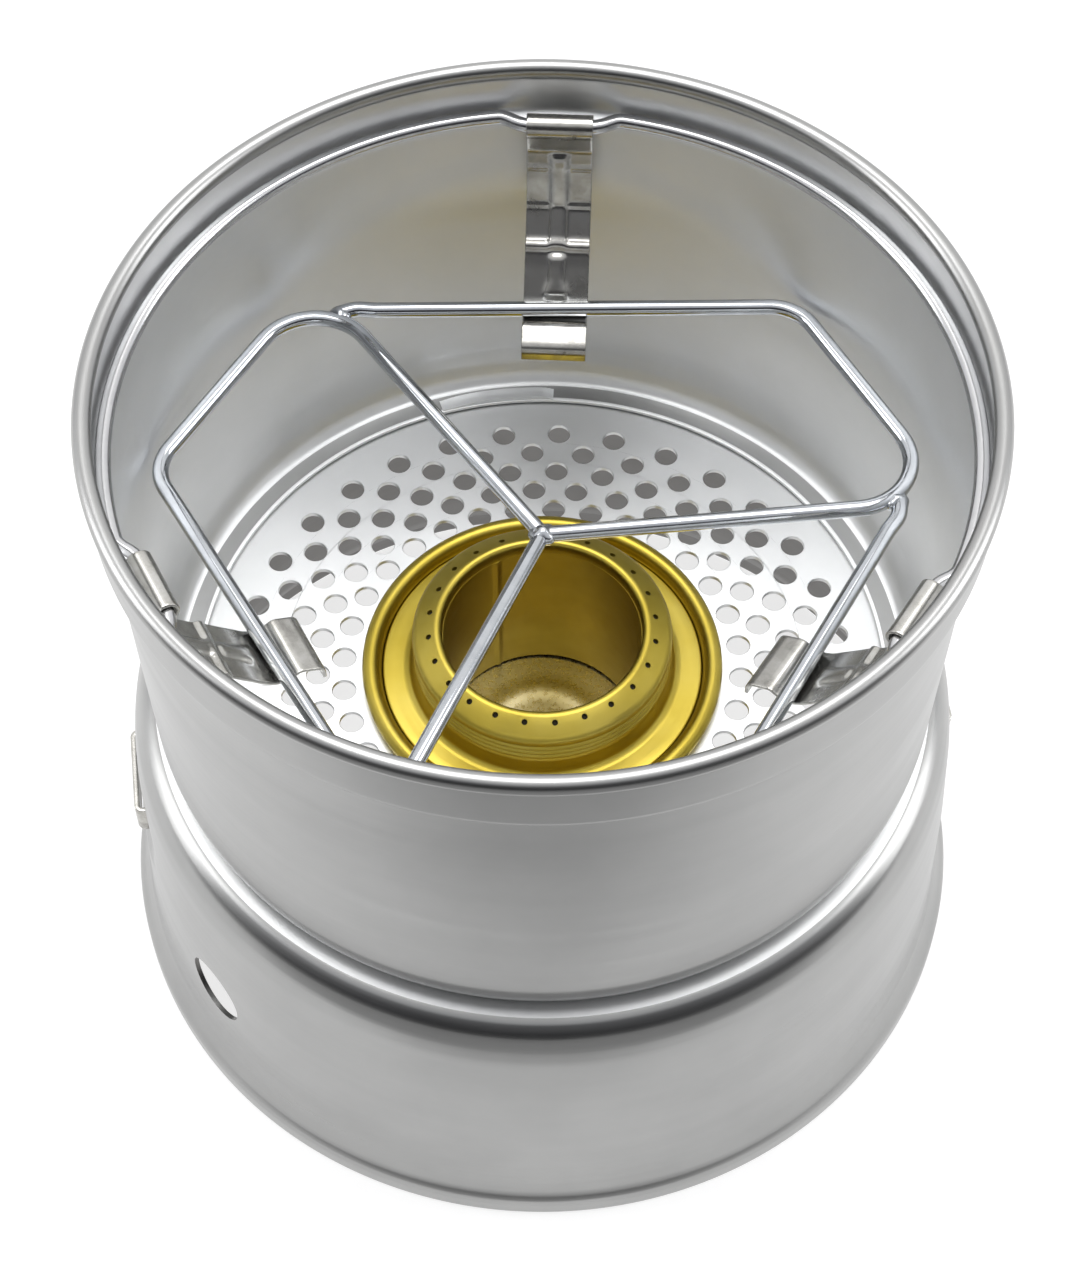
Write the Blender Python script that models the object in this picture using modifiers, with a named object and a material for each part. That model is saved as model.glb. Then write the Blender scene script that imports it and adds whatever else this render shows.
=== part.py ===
"""Alcohol spirit stove: two-part spun windshield, wire trivet, three folding
pot supports and a brass spirit burner.

Metres, +Z up.  The origin is the centre of the base ring.
"""
import math

import bmesh
import bpy
from mathutils import Matrix, Vector

# ---------------------------------------------------------------- dimensions
GAP = 0.0003                      # running gap between touching pieces
SHEET = 0.0010                    # spun aluminium sheet

BASE_R = 0.0925                   # lip of the lower windshield
DISC_TOP_Z = 0.0706               # perforated disc
DISC_BORE_R = 0.0350              # burner hole in the disc
RIM_TOP_Z = 0.1630                # top of the rolled rim
RIM_OUT_R = 0.0859

VENT_RINGS = (0.0630, 0.0577, 0.0525, 0.0472, 0.0419)
VENT_COUNT = 32                   # holes in each ring
VENT_R = 0.00255
VENT_FIRST_DEG = 7.80             # first hole of the outermost ring

SIDE_HOLE_R = 0.0078              # round hole in the lower wall
SIDE_HOLE_DEG = 218.5
SIDE_HOLE_Z = 0.0305

LOOP_DEGS = (187.5, 7.5)          # strap loops
LOOP_Z = 0.0442
LOOP_LEN = 0.0210
LOOP_W = 0.0074
LOOP_T = 0.0011
LOOP_OUT_R = 0.0890
POCKET_R = 0.0860                 # face of the pressed pocket behind a loop
POCKET_LEN = 0.0260
POCKET_H = 0.0130

SUPPORT_DEGS = (87.4, 207.4, 327.4)
SUPPORT_NAMES = ("back", "left", "right")
HINGE_R = 0.0785                  # hinge axis of a pot support
HINGE_Z = 0.1505
RING_R = 0.0816                   # hinge ring away from the supports
RING_WIRE_R = 0.0015
STRIP_W = 0.0135
STRIP_T = 0.0007
BARREL_R = 0.00215                # mid-sheet radius of the rolled barrel

WIRE_R = 0.00165                  # trivet wire
TRIVET_Z = 0.1174
TRIVET_DEGS = (125.9, 5.9, 245.9)
BEND_A = (0.0819, 0.0)            # corner between arm and short side
BEND_B = (0.0590, 0.0535)         # corner between short side and long side
TAIL = (-0.0298, 0.0610)          # end of the long side
BEND_A_R = 0.0125
BEND_B_R = 0.0100

BURNER_FLOOR_Z = 0.0410
JET_COUNT = 24
JET_RING_R = 0.02345
JET_FIRST_DEG = 6.2
JET_R = 0.00055
SLEEVE_R = 0.0206
SLEEVE_T = 0.0006
SLEEVE_TOP_Z = 0.0815
SLEEVE_LOW_Z = 0.0453

# Closed profiles, (radius, height): down the outside, back up the inside.
LOWER_PROFILE = (
    (DISC_BORE_R, DISC_TOP_Z), (0.0795, DISC_TOP_Z), (0.0823, 0.0700),
    (0.0846, 0.0679), (0.0861, 0.0646), (0.0868, 0.0605), (0.0882, 0.0400),
    (0.0888, 0.0200), (0.0890, 0.0150), (0.0896, 0.0100), (0.0910, 0.0065),
    (BASE_R, 0.0045), (BASE_R, 0.0), (0.0913, 0.0), (0.0913, 0.0036),
    (0.0902, 0.0056), (0.0887, 0.0095), (0.0880, 0.0148), (0.0878, 0.0200),
    (0.0872, 0.0400), (0.0858, 0.0603), (0.0851, 0.0641), (0.0838, 0.0670),
    (0.0818, 0.0689), (0.0794, DISC_TOP_Z - SHEET),
    (DISC_BORE_R, DISC_TOP_Z - SHEET))

UPPER_PROFILE = (
    (0.0832, 0.1628), (0.0841, RIM_TOP_Z), (0.0851, 0.1627),
    (0.0857, 0.1619), (RIM_OUT_R, 0.1610), (0.0856, 0.1600),
    (0.0850, 0.1594), (0.0850, 0.1496), (0.0846, 0.1488), (0.0830, 0.1482),
    (0.0826, 0.1474), (0.0810, 0.0800), (0.0804, 0.0760), (0.0793, 0.0730),
    (0.0780, 0.0714), (0.0772, 0.0709), (0.0716, 0.0709), (0.0716, 0.0718),
    (0.0768, 0.0718), (0.0784, 0.0738), (0.0794, 0.0763), (0.0800, 0.0801),
    (0.0816, 0.1478), (0.0820, 0.1488), (0.0836, 0.1494), (0.0840, 0.1502),
    (0.0840, 0.1585), (0.0828, 0.1594), (0.0822, 0.1605), (0.0823, 0.1618))

BODY_PROFILE = (
    (0.0336, 0.0732), (0.0344, 0.0743), (0.0356, 0.0747), (0.0369, 0.0743),
    (0.0376, 0.0733), (0.0378, 0.0720), (0.0374, 0.0709), (0.0344, 0.0709),
    (0.0340, 0.0704), (0.0340, 0.0436), (0.0332, 0.0418), (0.0316, 0.0410),
    (0.0275, 0.0410), (0.0262, 0.0418), (0.0250, 0.0434), (0.0, 0.0434),
    (0.0, 0.0444), (0.0256, 0.0444), (0.0270, 0.0424), (0.0308, 0.0420),
    (0.0324, 0.0428), (0.0330, 0.0442), (0.0330, 0.0704), (0.0334, 0.0714))

COLLAR_PROFILE = (
    (0.0212, 0.0862), (0.0222, 0.0863), (0.0262, 0.0842), (0.0270, 0.0832),
    (0.0270, 0.0822), (0.0265, 0.0816), (0.0270, 0.0810), (0.0270, 0.0801),
    (0.0265, 0.0795), (0.0270, 0.0789), (0.0270, 0.0780), (0.0265, 0.0774),
    (0.0270, 0.0768), (0.0272, 0.0745), (0.0276, 0.0730), (0.0288, 0.0724),
    (0.0327, 0.0724), (0.0327, 0.0716), (0.0284, 0.0716), (0.0266, 0.0726),
    (0.0260, 0.0744), (0.0258, 0.0826), (0.0252, 0.0836), (0.0222, 0.0851),
    (0.0214, 0.0848), (0.0214, 0.0820), (0.0206, 0.0820), (0.0206, 0.0856))

WICK_PROFILE = ((0.0220, 0.0660), (0.0324, 0.0660), (0.0324, 0.0458),
                (0.0220, 0.0458))

# Centreline of a pot support below its barrel, (radius, height).
STRIP_LINE = (
    (0.0786, 0.1440), (0.0780, 0.1395), (0.0760, 0.1306), (0.0702, 0.1243),
    (0.0670, 0.1213), (0.0617, 0.1160), (0.0600, 0.1151), (0.0568, 0.1151),
    (0.0553, 0.1160), (0.0512, 0.1142), (0.0505, 0.1134), (0.0505, 0.1105))


def reset_scene():
    for obj in list(bpy.data.objects):
        bpy.data.objects.remove(obj, do_unlink=True)


def material(name, colour, metallic, roughness):
    mat = bpy.data.materials.new(name)
    mat.use_nodes = True
    shader = mat.node_tree.nodes["Principled BSDF"]
    shader.inputs["Base Color"].default_value = (*colour, 1.0)
    shader.inputs["Metallic"].default_value = metallic
    shader.inputs["Roughness"].default_value = roughness
    mat.diffuse_color = (*colour, 1.0)
    return mat


def spun_aluminium():
    return material("spun_aluminium", (0.72, 0.73, 0.74), 1.0, 0.35)


def chromed_wire():
    return material("chromed_wire", (0.66, 0.67, 0.70), 1.0, 0.15)


def stainless_strip():
    return material("stainless_strip", (0.52, 0.52, 0.50), 1.0, 0.30)


def burner_brass():
    return material("burner_brass", (0.76, 0.60, 0.22), 1.0, 0.30)


def wick_cotton():
    return material("wick_cotton", (0.80, 0.76, 0.66), 0.0, 0.95)


def collection(name):
    found = bpy.data.collections.get(name)
    if found is None:
        found = bpy.data.collections.new(name)
        bpy.context.scene.collection.children.link(found)
    return found


def add_object(name, mesh, mat, location=(0.0, 0.0, 0.0)):
    obj = bpy.data.objects.new(name, mesh)
    obj.location = location
    mesh.materials.clear()
    mesh.materials.append(mat)
    collection("spirit_stove").objects.link(obj)
    return obj


def spun(name, profile, steps, mat):
    """A closed profile turned once round +Z."""
    mesh = bpy.data.meshes.new(name)
    points = [(radius, 0.0, height) for radius, height in profile]
    edges = [(i, (i + 1) % len(points)) for i in range(len(points))]
    mesh.from_pydata(points, edges, [])
    obj = add_object(name, mesh, mat)
    screw = obj.modifiers.new("spin", 'SCREW')
    screw.axis = 'Z'
    screw.angle = math.tau
    screw.steps = steps
    screw.render_steps = steps
    screw.use_merge_vertices = True
    screw.merge_threshold = 0.00001
    return obj


def prisms_mesh(name, pieces):
    """Round prisms in one mesh: each is (matrix, radius, depth, sides)."""
    build = bmesh.new()
    for matrix, radius, depth, sides in pieces:
        bmesh.ops.create_cone(build, cap_ends=True, segments=sides,
                              radius1=radius, radius2=radius, depth=depth,
                              matrix=matrix)
    mesh = bpy.data.meshes.new(name)
    build.to_mesh(mesh)
    build.free()
    return mesh


def box_mesh(name, size, matrix):
    build = bmesh.new()
    scaled = matrix @ Matrix.Diagonal((*size, 1.0))
    bmesh.ops.create_cube(build, size=1.0, matrix=scaled)
    mesh = bpy.data.meshes.new(name)
    build.to_mesh(mesh)
    build.free()
    return mesh


def boolean(obj, tool_mesh, operation):
    tool = bpy.data.objects.new(tool_mesh.name, tool_mesh)
    collection("cutters").objects.link(tool)
    tool.hide_render = True
    tool.display_type = 'WIRE'
    step = obj.modifiers.new(tool_mesh.name, 'BOOLEAN')
    step.operation = operation
    step.solver = 'EXACT'
    step.object = tool


def turned(degrees):
    return Matrix.Rotation(math.radians(degrees), 4, 'Z')


def at_radius(degrees, radius, height):
    """Frame at a radius: local X outward, Y round the axis, Z up."""
    return turned(degrees) @ Matrix.Translation((radius, 0.0, height))


def vent_prisms():
    pieces = []
    pitch = 360.0 / VENT_COUNT
    for row, radius in enumerate(VENT_RINGS):
        start = VENT_FIRST_DEG - 0.5 * pitch * (row % 2)
        for index in range(VENT_COUNT):
            place = at_radius(start + pitch * index, radius,
                              DISC_TOP_Z - 0.5 * SHEET)
            pieces.append((place, VENT_R, 4.0 * SHEET, 6))
    return pieces


def lower_windshield(mat):
    shell = spun("lower_windshield", LOWER_PROFILE, 48, mat)
    boolean(shell, prisms_mesh("vent_cutter", vent_prisms()), 'DIFFERENCE')
    across = (at_radius(SIDE_HOLE_DEG, 0.0885, SIDE_HOLE_Z)
              @ Matrix.Rotation(math.radians(90.0), 4, 'Y'))
    boolean(shell, prisms_mesh("side_hole_cutter",
                               [(across, SIDE_HOLE_R, 0.008, 16)]),
            'DIFFERENCE')
    for index, degrees in enumerate(LOOP_DEGS):
        back = at_radius(degrees, POCKET_R - SHEET + 0.0010, LOOP_Z)
        size = (0.0020, POCKET_LEN + 2.0 * SHEET, POCKET_H + 2.0 * SHEET)
        boolean(shell, box_mesh("pocket_wall_%d" % index, size, back),
                'UNION')
        front = at_radius(degrees, POCKET_R + 0.0030, LOOP_Z)
        boolean(shell, box_mesh("pocket_cutter_%d" % index,
                                (0.0060, POCKET_LEN, POCKET_H), front),
                'DIFFERENCE')
    return shell


def strap_loop(name, degrees, mat):
    """A strip bent to a shallow U whose legs reach into the pocket."""
    depth = LOOP_OUT_R - POCKET_R - GAP
    middle = POCKET_R + GAP + 0.5 * depth
    outer = bmesh.new()
    bmesh.ops.create_cube(outer, size=1.0, matrix=Matrix.Diagonal(
        (depth, LOOP_LEN, LOOP_W, 1.0)))
    mesh = bpy.data.meshes.new(name)
    outer.to_mesh(mesh)
    outer.free()
    obj = add_object(name, mesh, mat)
    obj.matrix_world = at_radius(degrees, middle, LOOP_Z)
    inner = (at_radius(degrees, middle - LOOP_T, LOOP_Z))
    boolean(obj, box_mesh(name + "_cutter",
                          (depth, LOOP_LEN - 2.0 * LOOP_T, 2.0 * LOOP_W),
                          inner), 'DIFFERENCE')
    return obj


def upper_windshield(mat):
    return spun("upper_windshield", UPPER_PROFILE, 48, mat)


def mesh_from_curve(name, curve):
    """The curve's solid as a mesh, its caps welded to its sides."""
    holder = bpy.data.objects.new(name + "_path", curve)
    collection("spirit_stove").objects.link(holder)
    bpy.context.view_layer.update()
    graph = bpy.context.evaluated_depsgraph_get()
    mesh = bpy.data.meshes.new_from_object(holder.evaluated_get(graph))
    bpy.data.objects.remove(holder, do_unlink=True)
    build = bmesh.new()
    build.from_mesh(mesh)
    bmesh.ops.remove_doubles(build, verts=build.verts, dist=0.00001)
    bmesh.ops.recalc_face_normals(build, faces=build.faces)
    build.to_mesh(mesh)
    build.free()
    mesh.name = name
    mesh.shade_smooth()
    mesh.set_sharp_from_angle(angle=math.radians(50.0))
    return mesh


def tube(name, points, radius, cyclic, mat, sides):
    """A round wire along a path, its ends capped."""
    curve = bpy.data.curves.new(name, 'CURVE')
    curve.dimensions = '3D'
    curve.bevel_depth = radius
    curve.bevel_resolution = sides
    curve.use_fill_caps = not cyclic
    spline = curve.splines.new('POLY')
    spline.points.add(len(points) - 1)
    for slot, point in zip(spline.points, points):
        slot.co = (*point, 1.0)
    spline.use_cyclic_u = cyclic
    return add_object(name, mesh_from_curve(name, curve), mat)


def filleted(points, radii, steps):
    """A planar path through the points with its inner corners rounded."""
    path = [Vector(points[0])]
    for before, corner, after, radius in zip(points, points[1:], points[2:],
                                             radii):
        corner = Vector(corner)
        one = (Vector(before) - corner).normalized()
        two = (Vector(after) - corner).normalized()
        half = 0.5 * one.angle(two)
        centre = corner + (one + two).normalized() * radius / math.sin(half)
        start = corner + one * radius / math.tan(half) - centre
        end = corner + two * radius / math.tan(half) - centre
        sweep = math.pi - 2.0 * half
        sign = 1.0 if start.x * end.y - start.y * end.x > 0.0 else -1.0
        for index in range(steps + 1):
            turn = Matrix.Rotation(sign * sweep * index / steps, 2)
            path.append(centre + turn @ start)
    path.append(Vector(points[-1]))
    return path


def hinge_ring(mat):
    """Wire ring under the collar with a straight bar at each support."""
    half = 0.5 * STRIP_W + 0.0006
    bar_turn = math.degrees(math.atan2(half, HINGE_R))
    joggle = 2.6
    points = []
    for index, degrees in enumerate(SUPPORT_DEGS):
        for side in (-half, half):
            place = at_radius(degrees, HINGE_R, HINGE_Z)
            points.append(place @ Vector((0.0, side, 0.0)))
        start = degrees + bar_turn + joggle
        end = degrees + 120.0 - bar_turn - joggle
        arcs = 20
        for step in range(arcs + 1):
            angle = start + (end - start) * step / arcs
            points.append(at_radius(angle, RING_R, HINGE_Z) @ Vector())
    return tube("hinge_ring", points, RING_WIRE_R, True, mat, 2)


def strip_outline():
    """Outline of a bent strip with a rolled barrel, about the hinge axis."""
    axis = Vector((HINGE_R, HINGE_Z))
    line = []
    first = math.radians(-62.0)
    last = math.radians(248.0)
    turns = 14
    for step in range(turns + 1):
        angle = first + (last - first) * step / turns
        line.append(Vector((math.cos(angle), math.sin(angle))) * BARREL_R)
    line.append(Vector((-0.0008, -0.0040)))
    line.extend(Vector(point) - axis for point in STRIP_LINE[1:])
    one_side = []
    other_side = []
    for index, point in enumerate(line):
        before = line[max(index - 1, 0)]
        after = line[min(index + 1, len(line) - 1)]
        here_in = (point - before).normalized() if index else None
        here_out = (after - point).normalized() if index < len(line) - 1 else None
        here_in = here_in or here_out
        here_out = here_out or here_in
        along = (here_in + here_out).normalized()
        across = Vector((-along.y, along.x))
        spread = 0.5 * STRIP_T / max(along.dot(here_in), 0.6)
        one_side.append(point + across * spread)
        other_side.append(point - across * spread)
    return one_side + other_side[::-1]


def pot_support(name, degrees, mat):
    """Bent strip hanging from its barrel; the origin is the hinge axis."""
    curve = bpy.data.curves.new(name, 'CURVE')
    curve.dimensions = '2D'
    curve.fill_mode = 'BOTH'
    curve.extrude = 0.5 * STRIP_W
    outline = strip_outline()
    spline = curve.splines.new('POLY')
    spline.points.add(len(outline) - 1)
    for slot, point in zip(spline.points, outline):
        slot.co = (point.x, point.y, 0.0, 1.0)
    spline.use_cyclic_u = True
    mesh = mesh_from_curve(name, curve)
    mesh.transform(Matrix.Rotation(math.radians(90.0), 4, 'X'))
    obj = add_object(name, mesh, mat)
    obj.location = at_radius(degrees, HINGE_R, HINGE_Z).translation
    obj.rotation_euler = (0.0, 0.0, math.radians(degrees))
    return obj


def trivet_wire(name, degrees, start, mat):
    """One bent wire: arm, short side and long side."""
    flat = filleted(((start, 0.0), BEND_A, BEND_B, TAIL),
                    (BEND_A_R, BEND_B_R), 6)
    points = [(point.x, point.y, 0.0) for point in flat]
    obj = tube(name, points, WIRE_R, False, mat, 2)
    obj.location = (0.0, 0.0, TRIVET_Z)
    obj.rotation_euler = (0.0, 0.0, math.radians(degrees))
    return obj


def burner_body(mat):
    return spun("burner_body", BODY_PROFILE, 32, mat)


def burner_jet_collar(mat):
    collar = spun("burner_jet_collar", COLLAR_PROFILE, 32, mat)
    lean = math.radians(-27.7)
    pieces = []
    for index in range(JET_COUNT):
        turn = JET_FIRST_DEG + 360.0 * index / JET_COUNT
        place = (at_radius(turn, JET_RING_R, 0.0851)
                 @ Matrix.Rotation(-lean, 4, 'Y'))
        pieces.append((place, JET_R, 0.0040, 6))
    boolean(collar, prisms_mesh("jet_cutter", pieces), 'DIFFERENCE')
    return collar


def burner_sleeve(mat):
    profile = ((SLEEVE_R + SLEEVE_T, SLEEVE_TOP_Z),
               (SLEEVE_R + SLEEVE_T, SLEEVE_LOW_Z),
               (SLEEVE_R, SLEEVE_LOW_Z), (SLEEVE_R, SLEEVE_TOP_Z))
    return spun("burner_sleeve", profile, 32, mat)


def burner_wick(mat):
    return spun("burner_wick", WICK_PROFILE, 24, mat)


def build_all():
    reset_scene()
    aluminium = spun_aluminium()
    wire = chromed_wire()
    steel = stainless_strip()
    brass = burner_brass()
    lower_windshield(aluminium)
    for side, degrees in zip(("left", "right"), LOOP_DEGS):
        strap_loop("strap_loop_" + side, degrees, steel)
    upper_windshield(aluminium)
    hinge_ring(steel)
    for side, degrees in zip(SUPPORT_NAMES, SUPPORT_DEGS):
        pot_support("pot_support_" + side, degrees, steel)
    starts = (-0.0008, 0.0032, 0.0032)
    for index, (degrees, start) in enumerate(zip(TRIVET_DEGS, starts)):
        trivet_wire("trivet_wire_%d" % (index + 1), degrees, start, wire)
    burner_body(brass)
    burner_jet_collar(brass)
    burner_sleeve(brass)
    burner_wick(wick_cotton())


build_all()
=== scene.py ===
"""Looks of the alcohol spirit stove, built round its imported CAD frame.

Metres, +Z up.  Outlines are in millimetres and turned into metres by MM.
"""
import math

import bmesh
import bpy
from mathutils import Matrix, Vector


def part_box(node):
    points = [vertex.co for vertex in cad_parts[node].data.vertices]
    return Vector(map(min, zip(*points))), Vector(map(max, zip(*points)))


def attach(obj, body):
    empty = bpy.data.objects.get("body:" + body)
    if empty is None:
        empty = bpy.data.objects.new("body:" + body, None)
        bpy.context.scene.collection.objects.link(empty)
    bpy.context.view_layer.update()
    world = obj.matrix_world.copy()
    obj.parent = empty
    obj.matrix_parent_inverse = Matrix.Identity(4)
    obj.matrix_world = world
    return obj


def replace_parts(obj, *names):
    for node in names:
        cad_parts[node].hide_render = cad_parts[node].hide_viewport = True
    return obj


MM = 0.001

# Lower windshield
TURN_STEPS = 256                  # facets round a shell
SHELL_SHARP_DEG = 38.0            # also for every piece that is cut
BORE_R = 35.0                     # burner hole in the disc
SHEET = 1.0
VENT_RINGS = (63.0, 57.7, 52.5, 47.2, 41.9)
VENT_COUNT = 32
VENT_R = 2.5
VENT_CHAMFER = 0.12
VENT_FIRST_DEG = 7.80
VENT_BAND = 5.28                  # radial width given to one ring of holes
SIDE_HOLE = (7.8, 218.5, 30.5)    # radius, azimuth, height
DISC_PAINTED_LIGHT_R = 81.5                # the disc's painted-light copy ends here
PAINTED_SHADE_BENEATH_Z = 20.0                  # down-facing sheet above this gets deeper painted shade
LOOP_DEGS = (187.5, 7.5)
LOOP_Z = 44.2
LOOP_FACE_R = 89.0                # outer face of a strap loop
LOOP_FOOT_R = 85.9                # where its bent ends stop
LOOP_THICK = 1.1
LOOP_HALF = 10.5                  # half length round the wall
LOOP_BEND_R = 1.3
POCKET_LEN = 21.0                 # half length of a pressed pocket
POCKET_HIGH = 10.5
POCKET_DEEP = 2.2
POCKET_ZONE = (30.0, 58.0)        # heights that the pressing may move

# Upper windshield
BEAD_LOOK_HIGH = 3.5              # the outside copy, with painted shade, covers the rim's bead
TAB_FIRST_DEG = 88.0
TAB_SWEEP_DEG = 20.0
TAB_HIGH = 0.9

# Pot supports and trivet
SUPPORT_DEGS = {"back": 87.4, "left": 207.4, "right": 327.4}
HINGE_R = 78.5
HINGE_Z = 150.5
RING_R = 81.6
RING_WIRE_R = 1.5
BAR_SPARE = 0.9                   # play between a strip and its bar's bends
JOGGLE_DEG = 2.6                  # turn taken by each bend beside a bar
BARREL_R = 2.15
BARREL_STEPS = 40
STRIP_W = 13.5
STRIP_T = 0.7
UPPER_CREASE_Z = 139.5
LOWER_CREASE_Z = 130.6
KNEE_Z = 124.6
TRIVET_DEGS = (125.9, 5.9, 245.9)
TRIVET_Z = 117.4
ROD_STARTS = (-0.8, 1.6, 1.6)     # radius at which each rod begins
WIRE_R = 1.65
WELD_TURN_DEG = 120.7             # from a rod's arm to its far weld
WELD_R = 70.6
SIDE_WELD = (2.6, 1.9, 1.75)
HUB_WELD = (2.7, 2.5, 1.95)

# Burner
JET_COUNT = 24
JET_RING_R = 23.45
JET_FIRST_DEG = 6.2
JET_R = 0.62
JET_Z = 85.4
JET_LEAN_DEG = 27.7
SHADE_PLUG_IN = 0.35                    # the painted-shade plugs sit this far inside the jets
SHADE_PLUG_Z = 84.8
THREAD_TURNS = 4
THREAD_TOP = 82.4
THREAD_PITCH = 1.45
SEAM_DEG = 118.0
SEAM_HIGH = 0.32
WELL_R = 22.4                     # edge of the spirit well's floor
WELL_Z = 44.5
WELL_UNDER_Z = 44.0

# Camera: its sensor lies along the picture's long side
PICTURE = (1080, 1267)
SENSOR = 36.0
CAMERA_AT = Vector((-0.00048, -0.3151, 0.5415))
CAMERA_DOWN_DEG = 55.49
FOCAL_PER_WIDTH = 2.48968         # focal length over the picture's width

# Table
FLOOR_HALF = 2500.0               # half side, in millimetres
FLOOR_DROP = 0.0003               # below the stove's foot, in metres
FLOOR_SHADOW_FADE = (-0.110, -0.175)     # y, in metres: where the painted shadow's fade starts and ends
FLOOR_PAINTED_GLOW = (0.04, 0.78)         # painted glow: inside the painted shadow, and in full


# ------------------------------------------------------------- node helpers
def new_material(name):
    mat = bpy.data.materials.new(name)
    mat.use_nodes = True
    return mat, mat.node_tree.nodes, mat.node_tree.links


def set_shader(mat, **values):
    """Constants on the Principled sockets; names use _ for a space."""
    shader = mat.node_tree.nodes["Principled BSDF"]
    for key, value in values.items():
        shader.inputs[key.replace("_", " ")].default_value = value
    return shader


def maths(nodes, links, operation, one, two=None, three=None):
    node = nodes.new("ShaderNodeMath")
    node.operation = operation
    for index, value in enumerate((one, two, three)):
        if value is None:
            continue
        if isinstance(value, (int, float)):
            node.inputs[index].default_value = value
        else:
            links.new(value, node.inputs[index])
    return node.outputs[0]


def turned_coordinates(nodes, links, round_rate, along):
    """A vector that runs fast along radius and height, slowly round Z."""
    place = nodes.new("ShaderNodeTexCoord").outputs["Object"]
    split = nodes.new("ShaderNodeSeparateXYZ")
    links.new(place, split.inputs[0])
    x, y, z = split.outputs
    radius = maths(nodes, links, "SQRT",
                   maths(nodes, links, "ADD",
                         maths(nodes, links, "MULTIPLY", x, x),
                         maths(nodes, links, "MULTIPLY", y, y)))
    radius = maths(nodes, links, "MAXIMUM", radius, 0.0001)
    flow = maths(nodes, links, "ADD",
                 maths(nodes, links, "MULTIPLY", z, along),
                 maths(nodes, links, "MULTIPLY", radius, along * 1.31))
    join = nodes.new("ShaderNodeCombineXYZ")
    links.new(maths(nodes, links, "MULTIPLY",
                    maths(nodes, links, "DIVIDE", x, radius), round_rate),
              join.inputs[0])
    links.new(maths(nodes, links, "MULTIPLY",
                    maths(nodes, links, "DIVIDE", y, radius), round_rate),
              join.inputs[1])
    links.new(flow, join.inputs[2])
    return join.outputs[0]


def object_place(nodes):
    return nodes.new("ShaderNodeTexCoord").outputs["Object"]


def noise(nodes, links, vector, scale, detail=3.0, rough=0.55):
    node = nodes.new("ShaderNodeTexNoise")
    node.inputs["Scale"].default_value = scale
    node.inputs["Detail"].default_value = detail
    node.inputs["Roughness"].default_value = rough
    links.new(vector, node.inputs["Vector"])
    return node.outputs["Fac"]


def spread(nodes, links, value, low, high, start=0.3, stop=0.7):
    """Value from start..stop stretched onto low..high."""
    node = nodes.new("ShaderNodeMapRange")
    node.inputs["From Min"].default_value = start
    node.inputs["From Max"].default_value = stop
    node.inputs["To Min"].default_value = low
    node.inputs["To Max"].default_value = high
    links.new(value, node.inputs["Value"])
    return node.outputs["Result"]


def tinted(nodes, links, value, stops):
    ramp = nodes.new("ShaderNodeValToRGB")
    parts = ramp.color_ramp.elements
    while len(parts) < len(stops):
        parts.new(0.5)
    for part, (position, colour) in zip(parts, stops):
        part.position = position
        part.color = (*colour, 1.0)
    links.new(value, ramp.inputs["Fac"])
    return ramp.outputs["Color"]


def bumped(nodes, links, height, strength, distance, before=None):
    bump = nodes.new("ShaderNodeBump")
    bump.inputs["Strength"].default_value = strength
    bump.inputs["Distance"].default_value = distance
    links.new(height, bump.inputs["Height"])
    if before is not None:
        links.new(before, bump.inputs["Normal"])
    return bump.outputs["Normal"]


def spun_metal(name, stops, rough, lines, wave, round_rate=2.0):
    """Metal turned on a lathe: fine rings, faint waves and soft stains."""
    mat, nodes, links = new_material(name)
    shader = set_shader(mat, Metallic=1.0)
    rings = noise(nodes, links,
                  turned_coordinates(nodes, links, round_rate, 3200.0),
                  1.0, 4.0)
    bands = noise(nodes, links,
                  turned_coordinates(nodes, links, 0.8, 260.0), 1.0, 2.0)
    stains = noise(nodes, links, object_place(nodes), 38.0, 4.0, 0.6)
    swell = noise(nodes, links, object_place(nodes), 24.0, 1.0)
    links.new(tinted(nodes, links, stains, stops),
              shader.inputs["Base Color"])
    blotch = maths(nodes, links, "MULTIPLY_ADD", rings, 0.55,
                   maths(nodes, links, "MULTIPLY", bands, 0.45))
    links.new(spread(nodes, links, blotch, rough[0], rough[1]),
              shader.inputs["Roughness"])
    fine = bumped(nodes, links, rings, lines, 0.00002)
    soft = bumped(nodes, links, swell, wave, 0.002, fine)
    links.new(soft, shader.inputs["Normal"])
    return mat


def shell_aluminium():
    """Copies of the spun sheet: painted shade on the satin outside, painted
    light inside, deeper painted shade beneath.
    """
    outside = spun_metal("aluminium_outside_painted_shade",
                         ((0.25, (0.36, 0.36, 0.357)),
                          (0.75, (0.41, 0.41, 0.405))),
                         (0.27, 0.36), 0.18, 0.04)
    inside = spun_metal("aluminium_inside_painted_light",
                        ((0.25, (0.80, 0.81, 0.81)),
                         (0.75, (0.86, 0.865, 0.87))),
                        (0.38, 0.48), 0.18, 0.08)
    beneath = spun_metal("aluminium_beneath_painted_shade",
                         ((0.25, (0.19, 0.185, 0.18)),
                          (0.75, (0.24, 0.235, 0.23))),
                         (0.36, 0.48), 0.18, 0.04)
    return outside, inside, beneath


def burner_brass():
    return spun_metal("spun_brass_look",
                      ((0.25, (0.38, 0.285, 0.035)),
                       (0.5, (0.45, 0.345, 0.055)),
                       (0.8, (0.50, 0.40, 0.09))),
                      (0.28, 0.42), 0.3, 0.05, 3.0)


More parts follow.
